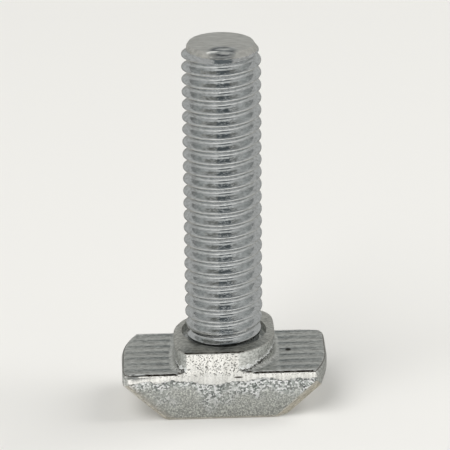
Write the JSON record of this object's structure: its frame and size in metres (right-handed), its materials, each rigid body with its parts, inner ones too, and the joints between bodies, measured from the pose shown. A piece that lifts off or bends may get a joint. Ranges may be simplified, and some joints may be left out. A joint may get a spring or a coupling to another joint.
{
  "type": "t slot bolt",
  "caption": "Hammer-head bolt that drops into a T-slot, turns a quarter turn and clamps, with ridged wings, a square neck and a right-hand metric thread.",
  "frame": {"origin": "centre of the head's flat bottom, on the bolt's axis", "axes": "+Z along the bolt, from the head to the threaded tip; X along the head's long side; Y across the head"},
  "size_m": [0.016, 0.0078, 0.0295],
  "materials": {
    "zinc_plated_steel": "bright bluish-white zinc plating over forged and rolled steel, satin with fine grain on the forged faces and smoother on the rolled thread"
  },
  "bodies": {
    "root": {"t_slot_bolt": "zinc_plated_steel"}
  },
  "joints": []
}
